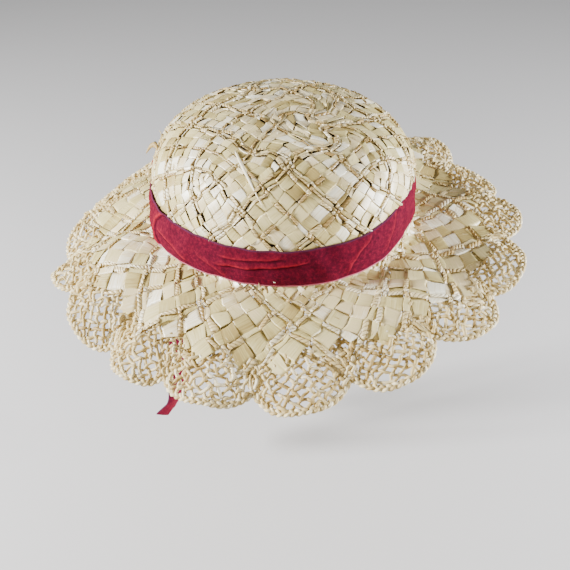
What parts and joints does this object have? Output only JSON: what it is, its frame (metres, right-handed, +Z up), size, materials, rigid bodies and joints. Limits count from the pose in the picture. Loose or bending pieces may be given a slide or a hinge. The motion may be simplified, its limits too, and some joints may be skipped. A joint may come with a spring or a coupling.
{
  "type": "domed straw sun hat with a scalloped lattice brim and a velvet ribbon",
  "caption": "Woven straw sun hat with a domed crown, a ruffled brim edged with open lattice scallops, and a velvet ribbon with hanging ends.",
  "frame": {"origin": "centre of the head opening, in the plane where the crown meets the brim", "axes": "+Z up through the crown, -Y the way the wearer looks, +X the wearer's left"},
  "size_m": [0.3454, 0.3594, 0.3206],
  "materials": {
    "palm_straw": "split palm leaf, hand woven on the bias in flat and twisted strips, matt with a faint leaf gloss",
    "plaited_straw": "twisted and plaited palm strands along the scalloped edge",
    "velvet": "crimson velvet ribbon, short pile with a pale sheen along folds"
  },
  "bodies": {
    "root": {"crown": "palm_straw", "brim": "palm_straw", "edge_braid": "plaited_straw", "ribbon_band": "velvet", "ribbon_knot": "velvet", "ribbon_tail_right": "velvet", "ribbon_tail_left": "velvet"}
  },
  "joints": []
}
